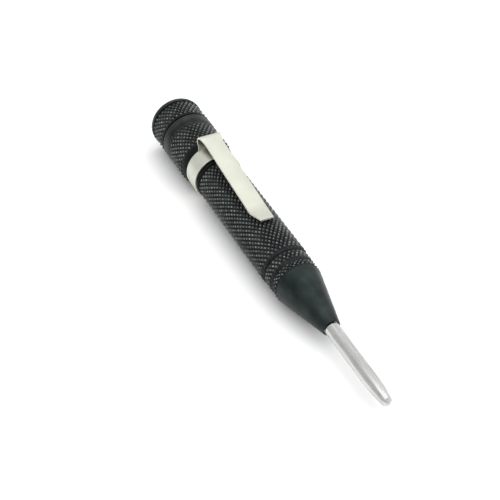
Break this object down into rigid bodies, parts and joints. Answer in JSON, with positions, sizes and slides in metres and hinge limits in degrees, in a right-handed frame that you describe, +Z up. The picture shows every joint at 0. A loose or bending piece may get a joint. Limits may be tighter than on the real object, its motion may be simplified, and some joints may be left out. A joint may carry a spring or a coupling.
{
  "type": "center punch",
  "caption": "Automatic spring-loaded center punch: knurled steel body, adjustable cap, pocket clip and sliding round point.",
  "frame": {"origin": "under the middle of the tool's length, on the surface that the cap rests on when the tool lies flat", "axes": "+X along the tool's axis towards the tip, +Z up with the pocket clip on top, +Y across the tool"},
  "size_m": [0.1274, 0.0158, 0.0191],
  "materials": {
    "black_oxide": "black oxide over a fine diamond knurl",
    "black_oxide_satin": "satin black oxide, turned",
    "nickel_plate": "satin nickel plate",
    "polished_steel": "bright ground and polished",
    "ground_steel": "hardened and ground",
    "spring_steel": "oil-tempered wire"
  },
  "bodies": {
    "housing": {"barrel": "black_oxide", "clip_collar": "black_oxide", "clip_band": "nickel_plate", "nose_lock_ring": "black_oxide", "nose_cone": "black_oxide_satin", "centring_bush": "ground_steel", "main_spring": "spring_steel", "return_spring": "spring_steel"},
    "seat": {"spring_seat": "ground_steel"},
    "cap": {"adjusting_cap": "black_oxide"},
    "striker": {"hammer": "ground_steel"},
    "punch": {"point": "polished_steel", "plunger": "ground_steel", "joint_pin": "ground_steel"},
    "clip_spring": {"clip_arm": "nickel_plate"}
  },
  "joints": [
    {"name": "point_slide", "type": "slide", "parent": "housing", "child": "punch", "axis": [-1, 0, 0], "range_m": [0, 0.008], "stiffness_N_per_m": 400, "springref_m": -0.003, "deforming": ["return_spring"]},
    {"name": "hammer_slide", "type": "slide", "parent": "housing", "child": "striker", "axis": [-1, 0, 0], "range_m": [0, 0.008], "stiffness_N_per_m": 2000, "springref_m": -0.003, "deforming": ["main_spring"]},
    {"name": "cap_travel", "type": "slide", "parent": "housing", "child": "seat", "axis": [-1, 0, 0], "range_m": [-0.0004, 0.004], "deforming": ["main_spring"]},
    {"name": "cap_turn", "type": "hinge", "parent": "seat", "child": "cap", "pos_m": [-0.06375, 0, 0.00795], "axis": [-1, 0, 0], "range_deg": [-146, 1446]},
    {"name": "clip_flex", "type": "hinge", "parent": "housing", "child": "clip_spring", "pos_m": [-0.03655, 0, 0.01695], "axis": [0, -1, 0], "range_deg": [0, 6], "stiffness_Nm_per_rad": 0.5, "springref_deg": -1.15}
  ],
  "couplings": [
    {"joint": "cap_turn", "follows": "cap_travel", "rad_per_m": 6283.2}
  ]
}
